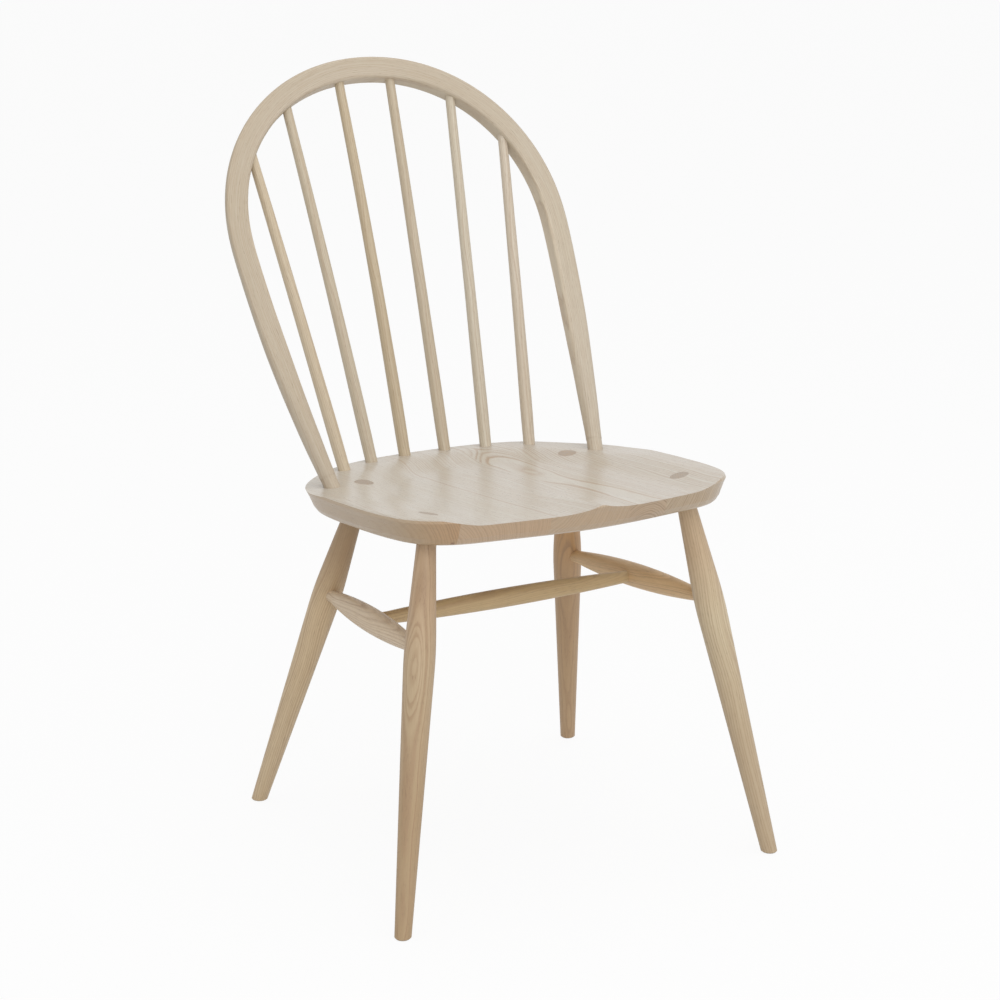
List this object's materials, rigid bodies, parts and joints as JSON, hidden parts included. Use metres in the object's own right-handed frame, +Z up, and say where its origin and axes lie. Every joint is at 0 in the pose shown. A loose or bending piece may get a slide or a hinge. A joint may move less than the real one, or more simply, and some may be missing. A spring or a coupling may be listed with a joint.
{
  "type": "windsor chair",
  "caption": "Bow-back wooden side chair: saddled plank seat, splayed turned legs with stretchers, steam-bent bow with turned spindles.",
  "frame": {"origin": "on the floor, under the centre of the chair's overall width and depth", "axes": "+Z up, -Y the way the sitter faces, +X toward the sitter's left"},
  "size_m": [0.5012, 0.5952, 0.885],
  "materials": {
    "seat_boards": "clear matt",
    "turned_frame": "clear matt",
    "bow_and_spindles": "clear matt",
    "wedges": "clear matt"
  },
  "bodies": {
    "root": {"bow": "bow_and_spindles", "bow_wedge_left": "wedges", "bow_wedge_right": "wedges", "cross_stretcher": "turned_frame", "leg_front_left": "turned_frame", "leg_front_right": "turned_frame", "leg_rear_left": "turned_frame", "leg_rear_right": "turned_frame", "leg_wedge_front_left": "wedges", "leg_wedge_front_right": "wedges", "leg_wedge_rear_left": "wedges", "leg_wedge_rear_right": "wedges", "seat_board_1": "seat_boards", "seat_board_2": "seat_boards", "seat_board_3": "seat_boards", "seat_board_4": "seat_boards", "seat_board_5": "seat_boards", "side_stretcher_left": "turned_frame", "side_stretcher_right": "turned_frame", "spindle_1": "bow_and_spindles", "spindle_2": "bow_and_spindles", "spindle_3": "bow_and_spindles", "spindle_4": "bow_and_spindles", "spindle_5": "bow_and_spindles", "spindle_6": "bow_and_spindles"}
  },
  "joints": []
}
